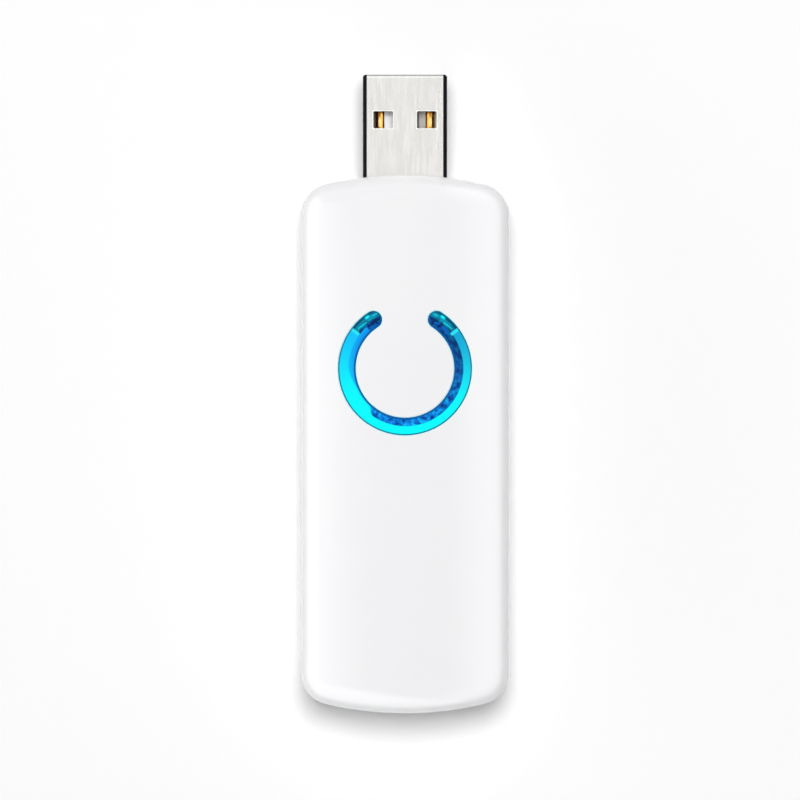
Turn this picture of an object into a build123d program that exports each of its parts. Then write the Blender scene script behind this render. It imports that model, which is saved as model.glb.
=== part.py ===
from build123d import *
import os
from functools import cache
from math import cos, radians, sin

# Sizes are in millimetres. The stick lies on its back: X runs across it, Y along it
# towards the plug, and Z up to its front face.

# Housing
body_length = 76.5
body_width = 29.6
body_thick = 12.0
end_radius = 50.0
corner_radius = 4.5
crown_radius = 80.0
edge_round = 3.0
wall = 1.6
seam_width = 0.24
seam_depth = 0.2

# Lip of the rear cover and the snap beads on it
lip_thick = 0.7
lip_height = 1.0
lip_gap = 0.1
bead_reach = 0.3
bead_length = 8.0
bead_pitch = 20.0
bead_count = 3

# Plug shell, folded from sheet
plug_reach = 14.3
plug_seat = 4.45
plug_width = 12.0
plug_height = 4.5
plug_corner = 0.55
sheet = 0.3
tip_chamfer = 0.25
fold_seam = 0.12
window_width = 2.8
window_length = 2.45
window_pitch = 6.2
window_setback = 5.2
window_corner = 0.2
ear_reach = 1.6
ear_length = 1.2
ear_bend = 0.35
ear_inset = 0.1
leg_exposed = 0.3
aperture_gap = 0.1

# Plug insulator and contacts
insulator_gap = 0.05
base_setback = 12.6
base_tail = 0.4
tongue_setback = 0.4
tongue_height = 1.95
contact_width = 1.3
contact_thick = 0.25
contact_crown = 1.3
contact_proud = 0.1
contact_gap = 0.05
contact_bend = 0.2
contact_foot = 1.6
nose_drop = 0.6
outer_contact_x = 3.6
inner_contact_x = 1.0
outer_contact_setback = 1.2
inner_contact_setback = 2.2

# Main board
board_thick = 1.0
board_gap = 0.4
board_drop = 0.4
notch_gap = 0.2
slot_gap = 0.12

# Posts, pins and ribs
post_width = 3.6
post_inset = 4.4
front_post_setback = 9.4
tail_post_setback = 7.2
pin_radius = 0.8
pin_reach = 2.0
pin_gap = 0.08
boss_gap = 0.1
rib_thick = 1.0
rib_reach = 2.4
rib_pitch = 16.0
rib_count = 3
rib_gap = 0.1
stop_rise = 0.5

# Light ring
ring_setback = 27.5
ring_outer = 9.5
ring_width = 2.5
ring_opening = 33.0
ring_gap = 0.06
ring_recess = 0.08
slot_bevel = 0.15
flange_margin = 0.8
flange_drop = 1.4
skirt_width = 1.6
seat_gap = 0.05
ear_radius = 1.5
ear_offset = 1.0
stake_radius = 0.6
stake_head = 1.0
stake_head_thick = 0.4
stake_angles = (90, 210, 330)

# Ring lights
light_length = 2.0
light_width = 1.25
light_height = 0.7
lens_length = 0.9
light_gap = 0.3
light_count = 6
first_light_angle = 150
light_step = 48

# Battery
battery_length = 27.0
battery_width = 20.0
battery_thick = 3.6
battery_round = 1.2
battery_clearance = 2.3
battery_pad = 0.3
pad_margin = 1.5
seal_length = 0.8
seal_thick = 0.6
tab_width = 2.0
tab_thick = 0.15
tab_bend = 0.4
tab_run = 0.5
tab_foot = 0.9
tab_x = 3.0
battery_rib_drop = 1.8
battery_rib_width = 12.0

# Antenna, one strip folded to and fro
antenna_width = 14.0
antenna_depth = 4.4
antenna_setback = 5.2
strip_width = 0.8
strip_thick = 0.3
strip_runs = 6

# Radio module, on the back of the board
module_length = 20.0
module_width = 16.0
module_thick = 0.6
module_setback = 11.4
pad_pitch = 1.5
pad_width = 0.7
pad_depth = 0.35
pads_a_side = 7
can_length = 15.0
can_width = 14.4
can_height = 1.7
can_sheet = 0.2
can_round = 0.4
can_offset = 1.6

# Chips and small components, each as length, width and height
bridge_size = (5.0, 5.0, 0.9)
crystal_size = (3.2, 2.5, 0.75)
regulator_size = (3.0, 1.6, 1.1)
charger_size = (2.9, 1.6, 1.1)
inductor_size = (4.0, 4.0, 2.0)
capacitor_size = (1.6, 0.8, 0.8)
choke_corner = 0.5
choke_flange = 0.4
chip_chamfer = 0.12
leg_size = (0.4, 0.8, 0.16)
leg_pitch = 0.95
body_standoff = 0.1
cap_share = 0.22
cap_step = 0.03
capacitor_pitch = 2.2
capacitor_count = 5
component_row_setback = 10.9
second_row_step = 4.6
component_gap = 0.8
board_margin = 0.4

# Places that follow from the sizes above
overall_length = body_length + plug_reach
plug_length = plug_reach + plug_seat
tip_y = overall_length / 2
plug_end_y = tip_y - plug_reach
tail_y = -overall_length / 2
body_centre_y = (plug_end_y + tail_y) / 2
parting_z = body_thick / 2
plug_z = parting_z
shell_rear_y = tip_y - plug_length
shell_floor_z = plug_z - plug_height / 2 + sheet
tongue_top_z = shell_floor_z + tongue_height
contact_top_z = tongue_top_z + contact_proud
contact_bottom_z = contact_top_z - contact_thick
saddle_y = (shell_rear_y + plug_end_y - wall) / 2
stop_y = shell_rear_y - base_tail - rib_gap
ear_y = shell_rear_y + ear_inset + ear_length / 2
ear_start_x = plug_width / 2 - sheet / 2
leg_x = ear_start_x + ear_reach
board_top_z = parting_z - board_drop
board_bottom_z = board_top_z - board_thick
ring_y = plug_end_y - ring_setback
ring_middle = ring_outer - ring_width / 2
flange_outer = ring_outer + flange_margin
flange_inner = ring_outer - ring_width - flange_margin
stake_circle = flange_outer + ear_offset
flange_bottom_z = body_thick - wall - flange_drop
battery_front_y = ring_y - flange_outer - battery_clearance
battery_y = battery_front_y - battery_length / 2
battery_bottom_z = board_top_z + battery_pad
front_post_y = plug_end_y - front_post_setback
tail_post_y = tail_y + tail_post_setback
post_x = body_width / 2 - post_inset
post_places = [(side * post_x, y) for y in (front_post_y, tail_post_y) for side in (-1, 1)]
component_y = plug_end_y - component_row_setback
bevel_share = 2 - 2**0.5
above = (Align.CENTER, Align.CENTER, Align.MIN)
below = (Align.CENTER, Align.CENTER, Align.MAX)
behind = (Align.CENTER, Align.MAX, Align.MIN)
ahead = (Align.CENTER, Align.MIN, Align.MIN)


def housing_outline(inset):
    """Outline of the housing seen from the front, drawn in from its wall by inset."""
    outline = Rectangle(body_width - 2 * inset, body_length)
    for side in (-1, 1):
        end_centre_y = side * (body_length / 2 - end_radius)
        outline &= Pos(0, end_centre_y) * Circle(end_radius - inset)
    return Pos(0, body_centre_y) * fillet(outline.vertices(), corner_radius - inset)


def housing_prism(inset, low, high):
    """Straight block of the housing's outline between two heights."""
    return Pos(0, 0, low) * extrude(housing_outline(inset), high - low)


def crown_rod(inset):
    """Rod along the stick whose top is the crowned front face, drawn in by inset."""
    rod = Cylinder(crown_radius - inset, body_length, rotation=(90, 0, 0))
    return Pos(0, body_centre_y, body_thick - crown_radius) * rod


def housing_block(inset):
    """Sharp-edged block of the housing, drawn in by inset, and the edges of its two faces."""
    block = housing_prism(inset, inset, body_thick) & crown_rod(inset)
    faces = block.faces().sort_by(Axis.Z)
    return block, faces[0].edges() + faces[-1].edges()


@cache
def housing_shell():
    """The whole housing as it shows, with round edges, hollowed to its wall."""
    block, rims = housing_block(0)
    return fillet(rims, edge_round) - inner_block(wall)


@cache
def inner_block(inset):
    """Block that stays inside the housing by inset, bevelled where the housing is round."""
    block, rims = housing_block(inset)
    bevel = (edge_round - inset) * bevel_share
    return chamfer(rims, bevel)


def plug_bar(grow, rear_y, front_y):
    """Rounded bar of the plug's section, grown all round, between two places on Y."""
    section = RectangleRounded(
        plug_width + 2 * grow, plug_height + 2 * grow, plug_corner + grow
    )
    bar = extrude(Plane.XZ * section, rear_y - front_y)
    return Pos(0, rear_y, plug_z) * bar


def c_shape(width):
    """Open ring with round ends, its gap towards the plug."""
    path = CenterArc((0, 0), ring_middle, 90 + ring_opening, 360 - 2 * ring_opening)
    return Pos(0, ring_y) * SlotArc(path, width)


def on_stakes():
    """Places of the pegs that hold the light ring."""
    turns = [radians(angle) for angle in stake_angles]
    return [Pos(stake_circle * cos(t), ring_y + stake_circle * sin(t)) for t in turns]


def snap_beads(grow):
    """Sloped ridges along both sides of the lip, grown by the snap's clearance."""
    bead_x = body_width / 2 - wall + lip_thick
    across = (bead_reach + grow) * 2**0.5
    ridge = Rot(0, 45, 0) * Box(across, bead_length + 2 * grow, across)
    places = GridLocations(2 * bead_x, bead_pitch, 2, bead_count)
    middle = Pos(0, body_centre_y, parting_z + lip_height / 2)
    return [middle * place * ridge for place in places]


def seam_groove(low, high):
    """Fine groove that runs round the housing where its covers meet."""
    return housing_prism(0, low, high) - housing_prism(seam_depth, low, high)


def front_cover():
    """Crowned front moulding with the slot for the light ring."""
    half = split(housing_shell(), Plane.XY.offset(parting_z), keep=Keep.TOP)
    slot = Pos(0, 0, parting_z) * extrude(c_shape(ring_width), body_thick)
    cover = half - slot
    cut_edges = new_edges(half, slot, combined=cover)
    mouth = [edge for edge in cut_edges if edge.bounding_box().min.Z > body_thick - wall]
    cover = chamfer(mouth, slot_bevel)

    rebate_top = parting_z + lip_height + lip_gap
    cover -= housing_prism(wall - lip_thick - lip_gap, parting_z, rebate_top)
    cover -= snap_beads(lip_gap)
    cover -= seam_groove(parting_z, parting_z + seam_width / 2)
    cover += [inner_block(wall / 2) & piece for piece in front_bosses() + front_ribs()]
    cover -= plug_bar(aperture_gap, stop_y, tip_y)
    return cover + [inner_block(wall / 2) & peg for peg in stakes()]


def front_bosses():
    """Bosses that come down to the board and take the pins of the rear cover."""
    start = board_top_z + boss_gap
    bore_depth = pin_reach - boss_gap + pin_gap
    boss = Cylinder(post_width / 2, body_thick - start, align=above)
    boss -= Cylinder(pin_radius + pin_gap, bore_depth, align=above)
    return [Pos(x, y, start) * boss for x, y in post_places]


def front_ribs():
    """Ribs under the front face that stop the plug and hold the battery."""
    stop = Box(plug_width, rib_thick, body_thick, align=behind)
    saddle = Box(plug_width, rib_thick, body_thick, align=above)
    keeper = Box(battery_rib_width, rib_thick, body_thick, align=above)
    keeper_z = body_thick - wall - battery_rib_drop
    keeper_gap = rib_gap + rib_thick / 2
    return [
        Pos(0, stop_y, contact_top_z + stop_rise) * stop,
        Pos(0, saddle_y, plug_z) * saddle,
        Pos(0, battery_front_y + seal_length + keeper_gap, keeper_z) * keeper,
        Pos(0, battery_front_y - battery_length - keeper_gap, keeper_z) * keeper,
    ]


def stakes():
    """Pegs with flattened heads that hold the light ring against the front face."""
    peg_bottom = flange_bottom_z - stake_head_thick
    peg = Cylinder(stake_radius, body_thick - peg_bottom, align=above)
    peg += Cylinder(stake_head, stake_head_thick - seat_gap, align=above)
    return [place * Pos(0, 0, peg_bottom) * peg for place in on_stakes()]


def rear_cover():
    """Flat-backed moulding with the lip, the snap beads and the posts."""
    cover = split(housing_shell(), Plane.XY.offset(parting_z), keep=Keep.BOTTOM)
    lip_top = parting_z + lip_height
    lip_outer = housing_prism(wall - lip_thick, parting_z, lip_top)
    cover += lip_outer - housing_prism(wall, parting_z, lip_top)
    cover += snap_beads(0)
    cover -= seam_groove(parting_z - seam_width / 2, parting_z)
    cover += [inner_block(wall / 2) & rib for rib in rear_ribs()]
    cover += rear_posts()
    return cover - plug_bar(aperture_gap, stop_y, tip_y)


def rear_posts():
    """Crossed ribs that carry the board, each with a pin that goes on through it."""
    floor_z = wall / 2
    height = board_bottom_z - floor_z
    post = Box(post_width, rib_thick, height, align=above)
    post += Box(rib_thick, post_width, height, align=above)
    post += Pos(0, 0, height) * Cylinder(pin_radius, board_thick + pin_reach, align=above)
    return [Pos(x, y, floor_z) * post for x, y in post_places]


def rear_ribs():
    """Ribs that carry the board's edges, cradle the plug and take its push."""
    clear_width = body_width - 2 * (wall + board_gap + rib_reach)
    rest = Box(body_width, rib_thick, board_bottom_z, align=above)
    rest -= Box(clear_width, rib_thick, board_bottom_z, align=above)
    rows = [Pos(0, ring_y - ring_outer) * row for row in GridLocations(0, rib_pitch, 1, rib_count)]
    stop = Box(plug_width, rib_thick, board_bottom_z, align=behind)
    saddle = Box(plug_width, rib_thick, plug_z, align=above)
    return [row * rest for row in rows] + [Pos(0, stop_y) * stop, Pos(0, saddle_y) * saddle]


def light_ring():
    """Clear light guide: the C in the face, a flange behind it and a skirt to the lights."""
    face = extrude(c_shape(ring_width - 2 * ring_gap), body_thick)
    face = crown_rod(ring_recess) & (Pos(0, 0, flange_bottom_z) * face)

    flange = Circle(flange_outer) - Circle(flange_inner)
    flange = extrude(Pos(0, ring_y) * flange, body_thick)
    ears = [place * Cylinder(ear_radius, body_thick, align=above) for place in on_stakes()]
    holes = [
        place * Cylinder(stake_radius + seat_gap, body_thick, align=above)
        for place in on_stakes()
    ]
    flange = Pos(0, 0, flange_bottom_z) * (flange + ears - holes)
    flange = crown_rod(wall + seat_gap) & flange

    skirt_bottom = board_top_z + light_height + light_gap
    skirt = Pos(0, 0, skirt_bottom) * extrude(
        c_shape(skirt_width), flange_bottom_z - skirt_bottom
    )
    return face + flange + skirt


def plug_shell():
    """Folded steel shell with windows on both faces, a seam below and two soldered ears."""
    shell = plug_bar(0, shell_rear_y, tip_y)
    shell = chamfer(shell.faces().sort_by(Axis.Y)[-1].edges(), tip_chamfer)
    shell -= plug_bar(-sheet, shell_rear_y, tip_y)

    window = RectangleRounded(window_width, window_length, window_corner)
    window_y = tip_y - window_setback - window_length / 2
    cutter = Pos(0, window_y) * extrude(window, body_thick)
    shell -= [Pos(side * window_pitch / 2) * cutter for side in (-1, 1)]
    shell -= Box(fold_seam, overall_length, plug_z, align=above)
    return shell + ears()


def ears():
    """Ears bent out onto the board, with legs that go down through it."""
    ear_z = board_top_z + sheet / 2
    leg_bottom = board_bottom_z - leg_exposed
    corners = ((ear_start_x, ear_z), (leg_x, ear_z), (leg_x, leg_bottom))
    path = FilletPolyline(*corners, radius=ear_bend)
    ear = extrude(Plane.XZ * trace(path, sheet), ear_length / 2, both=True)
    return [Pos(0, ear_y) * ear, Pos(0, ear_y) * mirror(ear, Plane.YZ)]


def contact_places():
    """Each contact of the plug by name, with its place across and its front end."""
    outer = tip_y - outer_contact_setback
    inner = tip_y - inner_contact_setback
    return {
        "contact_power": (-outer_contact_x, outer),
        "contact_data_minus": (-inner_contact_x, inner),
        "contact_data_plus": (inner_contact_x, inner),
        "contact_ground": (outer_contact_x, outer),
    }


def plug_insulator():
    """White base that fills the shell's rear and the tongue that carries the contacts."""
    front_y = tip_y - tongue_setback
    block = plug_bar(-sheet - insulator_gap, shell_rear_y - base_tail, front_y)
    base_front_y = tip_y - base_setback
    block -= Pos(0, base_front_y, tongue_top_z) * Box(
        plug_width, plug_length, plug_height, align=ahead
    )
    groove_width = contact_width + 2 * contact_gap
    groove = Box(groove_width, overall_length, contact_thick + contact_gap, align=behind)
    pocket_length = 2 * nose_drop + contact_gap
    pocket = Box(groove_width, pocket_length, nose_drop + contact_thick, align=behind)
    for x, contact_front_y in contact_places().values():
        end_y = contact_front_y + contact_gap
        block -= Pos(x, end_y, contact_bottom_z) * groove
        block -= Pos(x, end_y, contact_bottom_z - nose_drop) * pocket
    return block


def contact(x, front_y):
    """Strip whose nose dips into the tongue and whose foot is soldered to the board."""
    run_z = contact_top_z - contact_thick / 2
    foot_z = board_top_z + contact_thick / 2
    bend_y = shell_rear_y - base_tail - contact_bend
    foot_y = bend_y - 2 * contact_bend
    half = contact_thick / 2
    path = FilletPolyline(
        (front_y - half, run_z - nose_drop),
        (front_y - half - nose_drop / 2, run_z),
        (bend_y, run_z),
        (foot_y, foot_z),
        (foot_y - contact_foot, foot_z),
        radius=contact_bend,
    )
    strip = extrude(Plane.YZ * trace(path, contact_thick), contact_width / 2, both=True)
    run_length = front_y - tip_y + base_setback
    bar = Box(contact_width, run_length, contact_thick, align=(Align.CENTER, Align.MAX, Align.MAX))
    crown = Cylinder(contact_crown, run_length, rotation=(90, 0, 0))
    crown = Pos(0, -run_length / 2, -contact_crown) * crown
    return Pos(x) * (strip - Pos(0, front_y, contact_top_z) * (bar - crown))


def main_board():
    """Board that fills the housing, notched for the plug and drilled for pins and legs."""
    inset = wall + board_gap
    board = housing_prism(inset, board_bottom_z, board_top_z)
    notch = Box(plug_width + 2 * notch_gap, overall_length, body_thick, align=ahead)
    board -= Pos(0, shell_rear_y - base_tail - notch_gap) * notch
    hole = Cylinder(pin_radius + pin_gap, body_thick, align=above)
    board -= [Pos(x, y) * hole for x, y in post_places]
    slot = Box(sheet + 2 * slot_gap, ear_length + 2 * slot_gap, body_thick, align=above)
    return board - [Pos(side * leg_x, ear_y) * slot for side in (-1, 1)]


def ring_light(number):
    """Small light chip under the skirt of the light ring."""
    angle = first_light_angle + number * light_step
    turn = radians(angle)
    base = Box(light_length, light_width, light_height / 2, align=above)
    lens = Box(lens_length, light_width, light_height, align=above)
    place = Pos(ring_middle * cos(turn), ring_y + ring_middle * sin(turn), board_top_z)
    return place * Rot(0, 0, angle + 90) * (base + lens)


def battery_cell():
    """Soft-cornered pouch with its folded seal towards the leads."""
    section = RectangleRounded(battery_width, battery_thick, battery_round)
    pouch = extrude(Plane.XZ * section, battery_length / 2, both=True)
    middle_z = battery_bottom_z + battery_thick / 2
    seal_y = battery_length / 2 + seal_length / 2
    seal = Pos(0, seal_y) * Box(battery_width - 2 * battery_round, seal_length, seal_thick)
    return Pos(0, battery_y, middle_z) * (pouch + seal)


def adhesive_pad():
    """Adhesive pad between the cell and the board."""
    width = battery_width - 2 * battery_round - pad_margin
    length = battery_length - 2 * pad_margin
    pad = Box(width, length, battery_pad, align=above)
    return Pos(0, battery_y, board_top_z) * pad


def battery_tab(side):
    """Nickel tab from the cell's seal down to its solder foot on the board."""
    tab_z = battery_bottom_z + battery_thick / 2
    foot_z = board_top_z + tab_thick / 2
    start_y = battery_front_y + seal_length
    drop_y = start_y + tab_run
    corners = ((start_y, tab_z), (drop_y, tab_z), (drop_y, foot_z), (drop_y + tab_foot, foot_z))
    path = FilletPolyline(*corners, radius=tab_bend)
    tab = extrude(Plane.YZ * trace(path, tab_thick), tab_width / 2, both=True)
    return Pos(side * tab_x) * tab


def antenna():
    """Flat strip folded to and fro across the tail of the board."""
    pitch = antenna_width / strip_runs
    ends = [(-antenna_depth / 2, antenna_depth / 2), (antenna_depth / 2, -antenna_depth / 2)]
    corners = []
    for run in range(strip_runs):
        x = (run - (strip_runs - 1) / 2) * pitch
        corners += [(x, y) for y in ends[run % 2]]
    strip = extrude(trace(Polyline(*corners), strip_width), strip_thick)
    return Pos(0, tail_y + antenna_setback, board_top_z) * strip


def module_place():
    """Middle of the radio module, against the back of the board."""
    return Pos(0, tail_y + module_setback + module_length / 2, board_bottom_z)


def module_board():
    """Radio module's own board, notched at the pads along both sides."""
    board = Box(module_width, module_length, module_thick, align=below)
    pads = GridLocations(module_width, pad_pitch, 2, pads_a_side)
    board -= [pad * Box(2 * pad_depth, pad_width, module_thick, align=below) for pad in pads]
    return module_place() * board


def shield_can():
    """Folded can over the radio, open towards its board."""
    outside = Box(can_width, can_length, can_height, align=below)
    outside = fillet(outside.edges() - outside.faces().sort_by(Axis.Z)[-1].edges(), can_round)
    inside = Box(
        can_width - 2 * can_sheet, can_length - 2 * can_sheet, can_height - can_sheet, align=below
    )
    return module_place() * Pos(0, can_offset, -module_thick) * (outside - inside)


def flat_chip(size):
    """Leadless chip with bevelled top edges."""
    body = Box(*size, align=above)
    return chamfer(body.faces().sort_by(Axis.Z)[-1].edges(), chip_chamfer)


def legged_chip(size, legs):
    """Small chip that stands on flat legs along both sides."""
    length, width, height = size
    body = Pos(0, 0, body_standoff) * Box(length, width, height - body_standoff, align=above)
    body = chamfer(body.faces().sort_by(Axis.Z)[-1].edges(), chip_chamfer)
    leg = Box(*leg_size, align=above)
    return body + [place * leg for place in GridLocations(leg_pitch, width, legs, 2)]


def inductor():
    """Square wound choke with round corners and a waist."""
    length, width, height = inductor_size
    plate = extrude(RectangleRounded(length, width, choke_corner), choke_flange)
    core = Cylinder(width / 2 - choke_corner, height, align=above)
    return core + plate + Pos(0, 0, height - choke_flange) * plate


def capacitor():
    """Ceramic capacitor with a metal cap on each end."""
    length, width, height = capacitor_size
    core = Box(length, width - 2 * cap_step, height - cap_step, align=above)
    cap = Box(length * cap_share, width, height, align=above)
    cap_x = length * (1 - cap_share) / 2
    return core + [Pos(side * cap_x) * cap for side in (-1, 1)]


def on_board(x, y):
    """A place on the front of the board."""
    return Pos(x, y, board_top_z)


def components():
    """Chips and small components on the front of the board, by name."""
    row_x = bridge_size[0] / 2 + component_gap
    side_x = body_width / 2 - wall - board_gap - board_margin
    side_y = ring_y - ring_outer
    charger_place = on_board(-side_x + charger_size[1], side_y) * Rot(0, 0, 90)
    named = {
        "bridge_chip": on_board(0, component_y) * flat_chip(bridge_size),
        "crystal": on_board(-row_x - crystal_size[0] / 2, component_y) * flat_chip(crystal_size),
        "regulator": on_board(row_x + regulator_size[0] / 2, component_y)
        * legged_chip(regulator_size, 3),
        "charger_chip": charger_place * legged_chip(charger_size, 3),
        "inductor": on_board(side_x - inductor_size[0] / 2, side_y) * inductor(),
    }
    row = GridLocations(capacitor_pitch, 0, capacitor_count, 1)
    for number, place in enumerate(row, 1):
        middle = on_board(0, component_y - second_row_step)
        named[f"capacitor_{number}"] = middle * place * Rot(0, 0, 90) * capacitor()
    return named


os.makedirs("parts", exist_ok=True)
nodes = {
    "front_cover": front_cover(),
    "rear_cover": rear_cover(),
    "light_ring": light_ring(),
    "plug_shell": plug_shell(),
    "plug_insulator": plug_insulator(),
    "main_board": main_board(),
    "battery_cell": battery_cell(),
    "battery_pad": adhesive_pad(),
    "battery_tab_plus": battery_tab(1),
    "battery_tab_minus": battery_tab(-1),
    "antenna": antenna(),
    "module_board": module_board(),
    "shield_can": shield_can(),
}
nodes |= {name: contact(*place) for name, place in contact_places().items()}
nodes |= {f"ring_light_{n + 1}": ring_light(n) for n in range(light_count)}
nodes |= components()

for name, shape in nodes.items():
    export_step(shape, f"parts/{name}.step")
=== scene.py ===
import math

import bpy
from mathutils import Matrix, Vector

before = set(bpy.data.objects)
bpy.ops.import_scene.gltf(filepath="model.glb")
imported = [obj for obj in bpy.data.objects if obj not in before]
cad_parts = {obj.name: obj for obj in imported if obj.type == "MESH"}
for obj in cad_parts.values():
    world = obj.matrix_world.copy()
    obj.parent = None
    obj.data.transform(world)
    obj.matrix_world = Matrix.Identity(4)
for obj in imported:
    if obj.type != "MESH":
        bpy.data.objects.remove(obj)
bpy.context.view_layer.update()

MM = 0.001
BLACK = (0.0, 0.0, 0.0)
WHITE = (1.0, 1.0, 1.0)

# The range that most of a noise's values fall in
NOISE_LOW = 0.3
NOISE_HIGH = 0.7

# Places on the solids, in millimetres
PLUG_HALF_WIDTH = 6.0
PLUG_HALF_HEIGHT = 2.25
PLUG_CORNER = 0.55
PLUG_Z = 6.0
TIP_Y = 45.4
TIP_BEVEL = 0.25
WINDOW_X = 3.1
WINDOW_Y = 38.975
WINDOW_HALF_WIDTH = 1.4
WINDOW_HALF_LENGTH = 1.225
WINDOW_MARGIN = 0.2
CONTACT_X = 3.6
RING_Y = 3.6
RING_MIDDLE = 8.25
RING_HALF_WIDTH = 1.19
SLOT_HALF_WIDTH = 1.25
LEAK_WIDTH = 0.25
FACE_LOW_Z = 9.8
LENS_Z = 5.95
CHIP_FOOT_Z = 5.78
CHOKE_LOW_Z = 6.0
CHOKE_HIGH_Z = 7.2
MODULE_PAD_X = 7.6
MODULE_PAD_PITCH = 1.5

# Angles round the light ring, in degrees from its lowest point, positive to the right
RING_END = 147.0
LIT_END = 127.0
INNER_LIT_END = 137.0
GLOW_START = -95.0
GLOW_END = -62.0
MOTTLE_START = -40.0

# Widths of the thin lines at the ring's rim, in millimetres
INNER_RIM = 0.3
OUTER_RIM = 0.18

# The camera, straight above the front face
VIEW_WIDTH = 0.11396
VIEW_CENTRE = (-0.00071, -0.00088)
VIEW_PLANE_Z = 0.006
CAMERA_HEIGHT = 1.4
SENSOR_WIDTH = 36.0

# Light
KEY_POWER = 33.6
KEY_SIZE = 1.08
KEY_PLACE = (0.04, 0.54, 1.93)
FLOOR_COLOUR = 0.96
FLOOR_SIZE = 6.0
FLOOR_FADE_START = 90.0
FLOOR_FADE_END = 500.0

# Surroundings: SKY_LIGHT and FILL_LIGHT light the scene, and the rest is what glossy surfaces mirror.
# Starts, ends and tops are parts of a direction's unit vector.
SKY_LIGHT = 0.2
SKY_LEAN = (-0.1, -0.2, 0.0)
FILL_SIDE = (-0.7, -0.71, 0.0)
FILL_START = 0.3
FILL_FULL = 0.6
FILL_LIGHT = 1.8
FILL_TOP_START = 0.2
FILL_TOP_END = 0.4
SKY_REFLECTED = 1.0
PANEL_SIDE = (-0.86, -0.5, 0.0)
PANEL_LEVEL = 3.2
RIGHT_PANEL_LEVEL = 2.9
PANEL_START = 0.175
PANEL_FULL = 0.275
FAR_START = 0.4
FAR_FULL = 0.9
FAR_LEVEL = 1.8
HORIZON_START = 0.1
HORIZON_END = 0.45
HORIZON_SHARE = 0.3


def display(red, green, blue):
    """Linear colour of a tone given as it shows on a screen, 0 to 255."""
    return tuple(
        c / 12.92 if c <= 0.04045 else ((c + 0.055) / 1.055) ** 2.4
        for c in (red / 255, green / 255, blue / 255)
    )


# Tones of the light ring
CYAN = display(9, 250, 254)
BRIGHT = display(45, 226, 244)
SKY_BLUE = display(18, 196, 254)
FAR_BLUE = display(17, 168, 214)
AZURE = display(12, 134, 232)
BLUE = display(8, 98, 190)
NAVY = display(5, 56, 128)
NIGHT = display(3, 40, 92)
TEAL = display(5, 76, 112)
SHEEN = display(14, 158, 192)
EDGE_TEAL = display(8, 104, 142)
EDGE_BLUE = display(4, 92, 158)


class Graph:
    """A tree of shader nodes, with short calls that add to it."""

    def __init__(self, tree):
        self.nodes = tree.nodes
        self.links = tree.links

    def feed(self, socket, value):
        """Links a node's output to a socket, or sets the socket's own value."""
        if isinstance(value, bpy.types.NodeSocket):
            self.links.new(value, socket)
        elif socket.type == "RGBA":
            socket.default_value = (*value, 1.0)
        else:
            socket.default_value = value

    def math(self, operation, *values):
        """One step of arithmetic."""
        node = self.nodes.new("ShaderNodeMath")
        node.operation = operation
        for socket, value in zip(node.inputs, values):
            self.feed(socket, value)
        return node.outputs[0]

    def subtract(self, value, other):
        """Difference of two values."""
        return self.math("SUBTRACT", value, other)

    def away(self, value, place):
        """How far a value is from a place, on either side."""
        return self.math("ABSOLUTE", self.subtract(value, place))

    def dot(self, vector, other):
        """How far a vector points along another."""
        node = self.nodes.new("ShaderNodeVectorMath")
        node.operation = "DOT_PRODUCT"
        self.feed(node.inputs[0], vector)
        self.feed(node.inputs[1], other)
        return node.outputs["Value"]

    def split(self, vector):
        """The three parts of a vector."""
        node = self.nodes.new("ShaderNodeSeparateXYZ")
        self.feed(node.inputs[0], vector)
        return node.outputs

    def vector(self, x, y):
        """A vector from two values."""
        node = self.nodes.new("ShaderNodeCombineXYZ")
        self.feed(node.inputs[0], x)
        self.feed(node.inputs[1], y)
        return node.outputs[0]

    def multiply(self, *values):
        """Product of several values."""
        product, *others = values
        for value in others:
            product = self.math("MULTIPLY", product, value)
        return product

    def add(self, *values):
        """Sum of several values."""
        total, *others = values
        for value in others:
            total = self.math("ADD", total, value)
        return total

    def length(self, x, y):
        """Length of the hypotenuse over two values."""
        return self.math("SQRT", self.add(self.math("POWER", x, 2.0), self.math("POWER", y, 2.0)))

    def between(self, value, low, high, start=0.0, end=1.0):
        """Runs smoothly from start to end while value goes from low to high."""
        node = self.nodes.new("ShaderNodeMapRange")
        node.interpolation_type = "SMOOTHSTEP"
        for socket, level in zip(node.inputs, (value, low, high, start, end)):
            self.feed(socket, level)
        return node.outputs[0]

    def spread(self, noise, low, high):
        """Runs from low to high over the middle of a noise's range."""
        return self.between(noise, NOISE_LOW, NOISE_HIGH, low, high)

    def mix(self, share, low, high):
        """Blend of two colours."""
        node = self.nodes.new("ShaderNodeMix")
        node.data_type = "RGBA"
        self.feed(node.inputs[0], share)
        self.feed(node.inputs[6], low)
        self.feed(node.inputs[7], high)
        return node.outputs[2]

    def blend(self, share, low, high):
        """Blend of two values."""
        node = self.nodes.new("ShaderNodeMix")
        for socket, value in zip(node.inputs[0:1] + node.inputs[2:4], (share, low, high)):
            self.feed(socket, value)
        return node.outputs[0]

    def ramp(self, value, *stops):
        """Colour at value, from stops given as a place and a colour."""
        node = self.nodes.new("ShaderNodeValToRGB")
        self.feed(node.inputs[0], value)
        elements = node.color_ramp.elements
        while len(elements) < len(stops):
            elements.new(1.0)
        for element, (place, colour) in zip(elements, stops):
            element.position = place
            element.color = (*colour, 1.0)
        return node.outputs[0]

    def within(self, value, low, high, soft):
        """1 where value is from low to high, falling to 0 over soft on each side."""
        return self.multiply(
            self.between(value, low - soft, low + soft),
            self.between(value, high - soft, high + soft, 1.0, 0.0),
        )

    def stripes(self, value, pitch, share):
        """Soft stripes across value, one a pitch, each that share of the pitch wide."""
        cycle = self.math("PINGPONG", self.math("DIVIDE", value, pitch), 0.5)
        return self.between(cycle, share / 2 - 0.05, share / 2 + 0.05, 1.0, 0.0)


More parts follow.
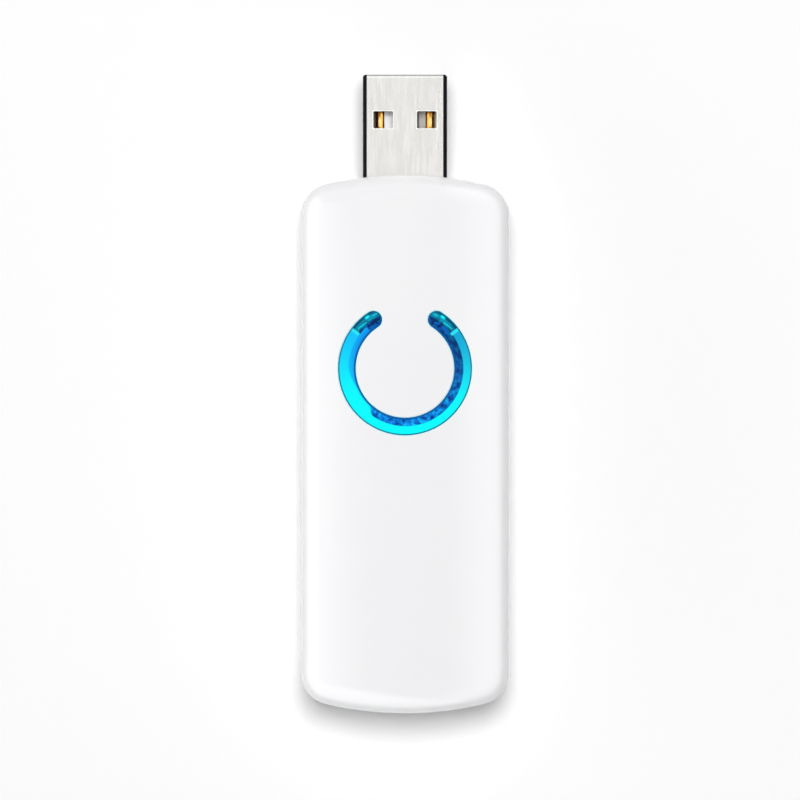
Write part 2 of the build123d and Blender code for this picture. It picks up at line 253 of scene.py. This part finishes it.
class Paint(Graph):
    """A Principled material whose nodes work in millimetres."""

    def __init__(self, name, **levels):
        self.material = bpy.data.materials.new(name)
        self.material.use_nodes = True
        super().__init__(self.material.node_tree)
        self.shader = self.nodes["Principled BSDF"]
        self.coordinates = self.nodes.new("ShaderNodeTexCoord").outputs
        for key, level in levels.items():
            self.set(key, level)

    def set(self, key, value):
        """Feeds one of the shader's sockets, such as base_color or roughness."""
        sockets = {s.name.lower().replace(" ", "_"): s for s in self.shader.inputs}
        self.feed(sockets[key], value)

    def scaled(self, scale, vector=None):
        """The point's place, or another vector, scaled along each axis."""
        node = self.nodes.new("ShaderNodeMapping")
        self.feed(node.inputs["Vector"], vector or self.coordinates["Object"])
        node.inputs["Scale"].default_value = scale
        return node.outputs[0]

    def axes(self):
        """The point's X, Y and Z in millimetres."""
        return self.split(self.scaled((1 / MM,) * 3))

    def noise(self, scale, detail=2.0, vector=None):
        """Cloudy noise from 0 to 1, with scale features a unit along each axis."""
        node = self.nodes.new("ShaderNodeTexNoise")
        self.feed(node.inputs["Vector"], self.scaled(scale, vector))
        node.inputs["Scale"].default_value = 1.0
        node.inputs["Detail"].default_value = detail
        return node.outputs["Fac"]

    def grain(self, size, detail=2.0, stretch=(1, 1, 1)):
        """Noise whose features are about size millimetres, longer where stretch is more."""
        return self.noise(tuple(1 / (size * MM * s) for s in stretch), detail)

    def round_ring(self):
        """Radius and angle about the ring's centre, and distance from its middle line."""
        x, y, _ = self.axes()
        up = self.subtract(y, RING_Y)
        radius = self.length(x, up)
        angle = self.math("DEGREES", self.math("ARCTAN2", x, self.multiply(up, -1.0)))
        end_x = RING_MIDDLE * math.sin(math.radians(RING_END))
        end_y = -RING_MIDDLE * math.cos(math.radians(RING_END))
        past_x = self.subtract(self.math("ABSOLUTE", x), end_x)
        past_y = self.subtract(up, end_y)
        on_arc = self.away(radius, RING_MIDDLE)
        past_end = self.math("GREATER_THAN", self.math("ABSOLUTE", angle), RING_END)
        return radius, angle, self.blend(past_end, on_arc, self.length(past_x, past_y))

    def in_windows(self, y):
        """1 along the length of the plug's windows and a little past it."""
        reach = WINDOW_HALF_LENGTH + WINDOW_MARGIN
        return self.within(y, WINDOW_Y - reach, WINDOW_Y + reach, 0.1)

    def relief(self, height, depth):
        """Bumps the surface by height times depth, which is in millimetres."""
        node = self.nodes.new("ShaderNodeBump")
        node.inputs["Distance"].default_value = depth * MM
        self.feed(node.inputs["Height"], height)
        self.set("normal", node.outputs[0])

    def apply(self, *names):
        """Puts the material on these solids."""
        for name in names:
            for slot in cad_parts[name].material_slots:
                slot.material = self.material


def white_plastic():
    """Glossy white moulded plastic, with a painted cyan glow by the slot in place of light that leaks
    round the ring.
    """
    paint = Paint("white_plastic", ior=1.46)
    white = paint.mix(paint.grain(9.0), display(236, 236, 238), display(238, 238, 239))
    _, _, from_line = paint.round_ring()
    _, _, z = paint.axes()
    in_face = paint.between(z, FACE_LOW_Z - 0.5, FACE_LOW_Z)
    # Painted glow: cyan base colour and emission near the slot, in place of light leaking from the
    # ring.
    painted_leak_glow = paint.between(from_line, SLOT_HALF_WIDTH, SLOT_HALF_WIDTH + LEAK_WIDTH, 1.0, 0.0)
    painted_leak_glow = paint.multiply(painted_leak_glow, in_face)
    paint.set("base_color", paint.mix(painted_leak_glow, white, display(216, 240, 241)))
    paint.set("emission_color", paint.mix(painted_leak_glow, BLACK, (0.05, 0.17, 0.17)))
    paint.set("emission_strength", 1.0)
    paint.set("roughness", paint.spread(paint.grain(2.5, 3.0), 0.15, 0.21))
    paint.relief(paint.grain(0.8, 2.0), 0.0006)
    paint.apply("front_cover", "rear_cover")


def ring_bands(paint, angle, outward, mottle):
    """Tone of the lit length: a cyan outer band and an inner one, smooth left, mottled right."""
    to_right = paint.between(angle, 45.0, LIT_END)
    to_left = paint.between(angle, -LIT_END, -55.0, 1.0, 0.0)
    outer_band = paint.mix(to_right, paint.mix(to_left, CYAN, SKY_BLUE), FAR_BLUE)

    blotches = paint.ramp(mottle, (0.36, NAVY), (0.45, BLUE), (0.54, AZURE), (0.68, SKY_BLUE))
    shaded = paint.mix(paint.between(angle, 20.0, LIT_END, 0.0, 0.8), blotches, NIGHT)
    downward = paint.between(angle, -130.0, -70.0, 0.0, 0.6)
    toward_middle = paint.between(outward, -1.1, -0.3, 0.0, 0.4)
    smooth = paint.mix(paint.add(downward, toward_middle), AZURE, SKY_BLUE)
    mottled = paint.between(angle, MOTTLE_START - 4.0, MOTTLE_START + 6.0)
    inner_band = paint.mix(mottled, smooth, shaded)

    left_edge = paint.between(angle, GLOW_START, GLOW_END, -0.22, -0.95)
    right_edge = paint.between(angle, MOTTLE_START, 90.0, -0.09, 0.03)
    past_edge = paint.subtract(outward, paint.blend(mottled, left_edge, right_edge))
    soft = paint.between(paint.math("ABSOLUTE", paint.add(angle, 60.0)), 0.0, 40.0, 0.3, 0.05)
    lit_outside = paint.between(past_edge, paint.multiply(soft, -1.0), soft)
    return paint.mix(lit_outside, inner_band, outer_band)


def ring_ends(paint, aside, outward, mottle):
    """Tone of the dark ends: blue within, teal outside, with a painted sheen and three painted
    glints.
    """
    inner = paint.mix(paint.between(mottle, 0.4, 0.6), NIGHT, BLUE)
    dark = paint.mix(paint.between(outward, -0.3, 0.3), inner, TEAL)
    # Painted highlights: a cyan sheen band, then three glints (a long streak, a patch and a short
    # streak).
    sheen = paint.multiply(
        paint.within(outward, 0.1, 0.8, 0.15), paint.between(mottle, 0.35, 0.6, 0.3, 0.9)
    )
    dark = paint.mix(sheen, dark, SHEEN)
    slanting = paint.add(outward, paint.multiply(aside, 0.02))
    long_glint = paint.multiply(
        paint.within(aside, 130.0, 140.0, 0.8), paint.within(slanting, 2.99, 3.08, 0.03)
    )
    patch = paint.multiply(
        paint.within(aside, 141.5, 145.5, 1.2), paint.within(outward, 0.6, 0.95, 0.1)
    )
    short_glint = paint.multiply(
        paint.within(aside, 148.0, 153.0, 0.8), paint.within(outward, 0.46, 0.54, 0.04)
    )
    return paint.mix(paint.add(long_glint, patch, short_glint), dark, CYAN)


def lit_ring():
    """Clear light guide lit from below: bright bands, dark ends, and a thin line at its rim."""
    paint = Paint("lit_ring", roughness=0.08, ior=1.49, specular_ior_level=0.05)
    radius, angle, from_line = paint.round_ring()
    aside = paint.math("ABSOLUTE", angle)
    outward = paint.subtract(radius, RING_MIDDLE)
    along = paint.multiply(angle, math.radians(RING_MIDDLE))
    mottle = paint.noise((1.15, 1.5, 1.0), 3.0, paint.vector(along, outward))
    lit = ring_bands(paint, angle, outward, mottle)
    dark = ring_ends(paint, aside, outward, mottle)

    on_left = paint.math("LESS_THAN", angle, 0.0)
    inner_left = paint.multiply(on_left, paint.math("LESS_THAN", outward, -0.22))
    past_limit = paint.subtract(aside, paint.blend(inner_left, LIT_END, INNER_LIT_END))
    tone = paint.mix(paint.between(past_limit, -0.6, 0.6), lit, dark)
    cap = paint.multiply(
        paint.within(aside, LIT_END - 2.2, LIT_END + 0.8, 0.5), paint.between(outward, -0.2, -0.1)
    )
    tone = paint.mix(cap, tone, BRIGHT)

    outside = paint.math("GREATER_THAN", outward, 0.0)
    rim_width = paint.blend(outside, INNER_RIM, OUTER_RIM)
    inside_edge = paint.subtract(RING_HALF_WIDTH, from_line)
    rim = paint.between(inside_edge, paint.multiply(rim_width, 0.35), rim_width, 1.0, 0.0)
    tone = paint.mix(rim, tone, paint.mix(outside, EDGE_BLUE, EDGE_TEAL))
    paint.set("base_color", paint.mix(0.85, tone, BLACK))
    paint.set("emission_color", tone)
    paint.set("emission_strength", 0.86)
    paint.apply("light_ring")


def plug_steel():
    """Plated steel with a faint rolled grain; painted dark reflection along the folded corners,
    painted highlights round the windows and behind the tip, and a painted grey reflection on the
    tip's bevel.
    """
    paint = Paint("plug_steel", metallic=1.0)
    x, y, z = paint.axes()
    outward = paint.math("ABSOLUTE", x)
    upward = paint.away(z, PLUG_Z)
    fold_x = PLUG_HALF_WIDTH - PLUG_CORNER
    fold_z = PLUG_HALF_HEIGHT - PLUG_CORNER
    # Painted dark reflection: near-black colour on the folded corners, as if they mirrored dark
    # surroundings.
    beside = paint.between(outward, fold_x - 0.07, fold_x + 0.03)
    painted_dark_corner = paint.multiply(beside, paint.between(upward, fold_z - 0.1, fold_z))
    face = paint.mix(paint.grain(2.4, 4.0), (0.70, 0.69, 0.665), (0.74, 0.73, 0.71))

    from_window_x = paint.away(outward, WINDOW_X)
    from_window_y = paint.away(y, WINDOW_Y)
    past_window = paint.math(
        "MAXIMUM",
        paint.subtract(from_window_x, WINDOW_HALF_WIDTH),
        paint.subtract(from_window_y, WINDOW_HALF_LENGTH),
    )
    # Painted highlights: a bright line round each window's pressed rim and one just behind the tip's
    # bevel.
    painted_window_rim_highlight = paint.between(past_window, 0.05, 0.17, 1.0, 0.0)
    painted_tip_highlight = paint.within(y, TIP_Y - TIP_BEVEL - 0.16, TIP_Y - TIP_BEVEL, 0.04)
    face = paint.mix(paint.math("MAXIMUM", painted_window_rim_highlight, painted_tip_highlight), face, (0.95, 0.95, 0.94))

    # Painted dark reflection: grey colour on the tip's bevel.
    painted_dark_bevel = paint.between(y, TIP_Y - TIP_BEVEL - 0.02, TIP_Y - TIP_BEVEL + 0.04)
    face = paint.mix(painted_dark_bevel, face, (0.42, 0.42, 0.42))
    paint.set("base_color", paint.mix(painted_dark_corner, face, (0.003, 0.003, 0.004)))
    rolled = paint.grain(0.3, 3.0, (1, 10, 1))
    paint.set("roughness", paint.spread(rolled, 0.17, 0.23))
    paint.relief(rolled, 0.001)
    paint.apply("plug_shell")


def gold_plate():
    """Gold plating with a painted highlight along the middle of each outer contact, and painted brown
    shade at the contacts' left sides and far ends in the windows.
    """
    paint = Paint("gold_plate", metallic=1.0)
    x, y, _ = paint.axes()
    outward = paint.math("ABSOLUTE", x)
    past_middle = paint.subtract(outward, CONTACT_X)
    from_window = paint.math("DIVIDE", paint.subtract(y, WINDOW_Y - 0.3), 5.0)
    # Painted highlight: a bright spindle along the middle of each outer contact.
    painted_highlight_spindle = paint.between(paint.length(past_middle, from_window), 0.1, 0.22, 1.0, 0.0)
    # Painted shade: brown on each contact's left side and far end, within the windows.
    on_left = paint.between(x, -CONTACT_X - 0.2, -CONTACT_X + 0.2, 1.0, 0.0)
    far_end = paint.between(y, WINDOW_Y + 0.7, WINDOW_Y + 1.1)
    in_window = paint.in_windows(y)
    painted_brown_shade = paint.multiply(paint.math("MAXIMUM", on_left, far_end), in_window)
    wear = paint.grain(0.3, 3.0, (1, 6, 1))
    plate = paint.mix(wear, (0.30, 0.14, 0.022), (0.44, 0.23, 0.05))
    plate = paint.mix(painted_brown_shade, plate, (0.15, 0.06, 0.01))
    paint.set("base_color", paint.mix(painted_highlight_spindle, plate, (0.85, 0.62, 0.28)))
    paint.set("roughness", paint.spread(wear, 0.14, 0.24))
    paint.relief(wear, 0.002)
    paint.apply("contact_power", "contact_data_minus", "contact_data_plus", "contact_ground")


def insulator_plastic():
    """Off-white glass-filled plastic of the plug's insulator, with painted shade by each window's
    left edge and painted grey shade under the right window.
    """
    paint = Paint("insulator_plastic", ior=1.5)
    x, y, _ = paint.axes()
    on_right = paint.between(x, 0.0, 0.1)
    edge = paint.blend(on_right, -WINDOW_X, WINDOW_X)
    past_edge = paint.subtract(x, paint.subtract(edge, WINDOW_HALF_WIDTH))
    in_window = paint.in_windows(y)
    shade = paint.multiply(paint.between(past_edge, 0.22, 0.42, 1.0, 0.0), in_window)
    speck = paint.grain(0.25, 3.0)
    white = paint.mix(speck, display(232, 232, 234), display(242, 242, 244))
    # Painted shade: grey on the insulator under the right window.
    white = paint.mix(paint.multiply(on_right, in_window), white, display(176, 172, 166))
    paint.set("base_color", paint.mix(shade, white, display(88, 86, 82)))
    paint.set("roughness", paint.spread(speck, 0.36, 0.5))
    paint.relief(speck, 0.004)
    paint.apply("plug_insulator")


def circuit_board(name, mask, trace, node):
    """Solder mask over copper traces, lengthwise in some patches, with pads on the module."""
    paint = Paint(name, ior=1.5)
    x, y, _ = paint.axes()
    patch = paint.between(paint.grain(5.0, 0.0), 0.48, 0.5)
    lines = paint.blend(patch, paint.stripes(x, 0.9, 0.36), paint.stripes(y, 0.9, 0.36))
    coat = paint.mix(lines, mask, trace)
    if node == "module_board":
        rim = paint.between(paint.math("ABSOLUTE", x), MODULE_PAD_X - 0.05, MODULE_PAD_X)
        pads = paint.multiply(rim, paint.stripes(y, MODULE_PAD_PITCH, 0.6))
        coat = paint.mix(pads, coat, (0.83, 0.57, 0.20))
    paint.set("base_color", coat)
    paint.set("roughness", paint.spread(paint.grain(0.8, 3.0), 0.26, 0.4))
    paint.relief(lines, 0.02)
    paint.apply(node)


def battery_foil():
    """Silver pouch foil with soft wrinkles."""
    paint = Paint("battery_foil", metallic=0.9)
    wrinkle = paint.grain(1.6, 4.0, (1, 2, 1))
    paint.set("base_color", paint.mix(wrinkle, (0.52, 0.53, 0.55), (0.66, 0.67, 0.69)))
    paint.set("roughness", paint.spread(wrinkle, 0.3, 0.46))
    paint.relief(wrinkle, 0.05)
    paint.apply("battery_cell")


def pad_foam():
    """Dark grey adhesive foam with fine pores."""
    paint = Paint("pad_foam")
    pores = paint.grain(0.18, 2.0)
    paint.set("base_color", paint.mix(pores, (0.05, 0.05, 0.055), (0.11, 0.11, 0.12)))
    paint.set("roughness", paint.spread(pores, 0.75, 0.95))
    paint.relief(pores, 0.03)
    paint.apply("battery_pad")


def sheet_metal(name, dull, bright, *nodes):
    """Bare sheet metal with a fine brushed grain."""
    paint = Paint(name, metallic=1.0)
    brushed = paint.grain(0.12, 3.0, (14, 1, 1))
    paint.set("base_color", paint.mix(brushed, dull, bright))
    paint.set("roughness", paint.spread(brushed, 0.26, 0.42))
    paint.relief(brushed, 0.002)
    paint.apply(*nodes)


def chip_epoxy():
    """Matt black moulding compound, with tinned legs where a chip stands on them."""
    paint = Paint("chip_epoxy")
    _, _, z = paint.axes()
    speck = paint.grain(0.07, 2.0)
    legs = paint.between(z, CHIP_FOOT_Z - 0.03, CHIP_FOOT_Z, 1.0, 0.0)
    body = paint.mix(speck, (0.012, 0.012, 0.013), (0.028, 0.028, 0.03))
    paint.set("base_color", paint.mix(legs, body, (0.62, 0.62, 0.60)))
    paint.set("metallic", legs)
    paint.set("roughness", paint.blend(legs, paint.spread(speck, 0.5, 0.7), 0.3))
    paint.relief(speck, 0.006)
    paint.apply("bridge_chip", "regulator", "charger_chip")


def ring_light_chips():
    """Ceramic base of a light chip under its clear lit lens."""
    paint = Paint("ring_light_chips")
    _, _, z = paint.axes()
    lens = paint.between(z, LENS_Z - 0.01, LENS_Z + 0.01)
    speck = paint.grain(0.15, 2.0)
    base = paint.mix(speck, (0.70, 0.70, 0.66), (0.80, 0.80, 0.77))
    paint.set("base_color", paint.mix(lens, base, (0.55, 0.72, 0.75)))
    paint.set("emission_color", paint.mix(lens, BLACK, display(9, 246, 253)))
    paint.set("emission_strength", 0.6)
    paint.set("roughness", paint.spread(speck, 0.2, 0.4))
    paint.relief(speck, 0.004)
    paint.apply(*[f"ring_light_{number}" for number in range(1, 7)])


def wound_choke():
    """Grey ferrite plates with copper windings between them."""
    paint = Paint("wound_choke")
    _, _, z = paint.axes()
    low = paint.between(z, CHOKE_LOW_Z - 0.02, CHOKE_LOW_Z)
    high = paint.between(z, CHOKE_HIGH_Z, CHOKE_HIGH_Z + 0.02, 1.0, 0.0)
    waist = paint.multiply(low, high)
    turns = paint.stripes(z, 0.15, 0.5)
    speck = paint.grain(0.1, 2.0)
    ferrite = paint.mix(speck, (0.06, 0.06, 0.065), (0.10, 0.10, 0.11))
    copper = paint.mix(turns, (0.40, 0.13, 0.05), (0.80, 0.34, 0.16))
    paint.set("base_color", paint.mix(waist, ferrite, copper))
    paint.set("metallic", waist)
    paint.set("roughness", paint.blend(waist, paint.spread(speck, 0.5, 0.7), 0.3))
    paint.relief(paint.blend(waist, speck, turns), 0.01)
    paint.apply("inductor")


def capacitor_ceramic():
    """Brown ceramic between two tinned ends."""
    paint = Paint("capacitor_ceramic")
    place = paint.split(paint.coordinates["Generated"])[1]
    centre = paint.away(place, 0.5)
    ends = paint.between(centre, 0.27, 0.285)
    speck = paint.grain(0.1, 2.0)
    ceramic = paint.mix(speck, (0.30, 0.17, 0.085), (0.42, 0.26, 0.14))
    paint.set("base_color", paint.mix(ends, ceramic, (0.68, 0.68, 0.66)))
    paint.set("metallic", ends)
    paint.set("roughness", paint.spread(speck, 0.3, 0.45))
    paint.relief(speck, 0.005)
    paint.apply(*[f"capacitor_{number}" for number in range(1, 6)])


def make_materials():
    """One material for each kind of surface."""
    white_plastic()
    lit_ring()
    plug_steel()
    gold_plate()
    insulator_plastic()
    circuit_board("board_green", (0.008, 0.10, 0.04), (0.02, 0.20, 0.08), "main_board")
    circuit_board("board_blue", (0.006, 0.03, 0.12), (0.015, 0.07, 0.24), "module_board")
    battery_foil()
    pad_foam()
    sheet_metal("tin_plate", (0.58, 0.58, 0.56), (0.72, 0.72, 0.70), "shield_can", "crystal")
    sheet_metal(
        "nickel", (0.50, 0.48, 0.43), (0.66, 0.63, 0.57), "battery_tab_plus", "battery_tab_minus"
    )
    sheet_metal("copper_strip", (0.72, 0.42, 0.20), (0.88, 0.60, 0.34), "antenna")
    chip_epoxy()
    ring_light_chips()
    wound_choke()
    capacitor_ceramic()


def make_floor():
    """Plain white floor that the object lies on, which keeps the object's shadow."""
    half = FLOOR_SIZE / 2
    mesh = bpy.data.meshes.new("floor")
    corners = [(-half, -half, 0), (half, -half, 0), (half, half, 0), (-half, half, 0)]
    mesh.from_pydata(corners, [], [(0, 1, 2, 3)])
    floor = bpy.data.objects.new("floor", mesh)
    bpy.context.scene.collection.objects.link(floor)
    paint = Paint("floor_white", roughness=1.0, specular_ior_level=0.0)
    paint.set("base_color", (FLOOR_COLOUR,) * 3)
    x, y, _ = paint.axes()
    fade = paint.between(paint.length(x, y), FLOOR_FADE_START, FLOOR_FADE_END)
    rays = paint.nodes.new("ShaderNodeLightPath").outputs
    seen = paint.math("MAXIMUM", rays["Is Camera Ray"], rays["Is Glossy Ray"])
    paint.set("emission_color", WHITE)
    paint.set("emission_strength", paint.multiply(fade, seen))
    mesh.materials.append(paint.material)


def make_sky():
    """Soft white surroundings: plain to the camera, with panels at the sides in reflections."""
    world = bpy.data.worlds.new("sky")
    bpy.context.scene.world = world
    world.use_nodes = True
    sky = Graph(world.node_tree)
    rays = sky.nodes.new("ShaderNodeLightPath").outputs
    direction = sky.nodes.new("ShaderNodeTexCoord").outputs["Generated"]
    across, ahead, up = sky.split(direction)

    light = sky.multiply(sky.add(sky.dot(direction, SKY_LEAN), 1.0), SKY_LIGHT)
    fill = sky.between(sky.dot(direction, FILL_SIDE), FILL_START, FILL_FULL, 0.0, FILL_LIGHT)
    low = sky.between(up, FILL_TOP_START, FILL_TOP_END, 1.0, 0.0)
    light = sky.add(light, sky.multiply(fill, low))
    side = sky.dot(direction, PANEL_SIDE)
    panel = sky.between(side, PANEL_START, PANEL_FULL, 0.0, PANEL_LEVEL)
    right_panel = sky.between(across, PANEL_START, PANEL_FULL, 0.0, RIGHT_PANEL_LEVEL)
    plain = sky.between(ahead, FAR_START, FAR_FULL, SKY_REFLECTED, FAR_LEVEL)
    dimmed = sky.between(up, HORIZON_START, HORIZON_END, HORIZON_SHARE, 1.0)
    plain = sky.multiply(sky.add(plain, right_panel), dimmed)
    reflected = sky.add(plain, panel)
    strength = sky.blend(rays["Is Glossy Ray"], light, reflected)
    strength = sky.blend(rays["Is Camera Ray"], strength, 1.0)
    background = sky.nodes["Background"]
    sky.feed(background.inputs["Color"], WHITE)
    sky.feed(background.inputs["Strength"], strength)


def aim(thing, place, target):
    """Puts a lamp or camera at a place, looking at a target, with +Y up in its picture."""
    thing.location = place
    look = Vector(target) - Vector(place)
    thing.rotation_mode = "QUATERNION"
    thing.rotation_quaternion = look.to_track_quat("-Z", "Y")


def make_key_light():
    """Large soft lamp beyond the plug, high enough to leave a short shadow."""
    lamp = bpy.data.lights.new("key", "AREA")
    lamp.shape = "DISK"
    lamp.size = KEY_SIZE
    lamp.energy = KEY_POWER
    key = bpy.data.objects.new("key", lamp)
    bpy.context.scene.collection.objects.link(key)
    key.visible_camera = False
    key.visible_glossy = False
    aim(key, KEY_PLACE, (0.0, 0.0, 0.0))


def make_camera():
    """Long lens straight above the front face."""
    data = bpy.data.cameras.new("camera")
    data.sensor_width = SENSOR_WIDTH
    data.lens = SENSOR_WIDTH * CAMERA_HEIGHT / VIEW_WIDTH
    camera = bpy.data.objects.new("camera", data)
    bpy.context.scene.collection.objects.link(camera)
    camera.location = (*VIEW_CENTRE, VIEW_PLANE_Z + CAMERA_HEIGHT)
    bpy.context.scene.camera = camera


make_materials()
make_floor()
make_sky()
make_key_light()
make_camera()
bpy.context.scene.view_settings.view_transform = "Standard"
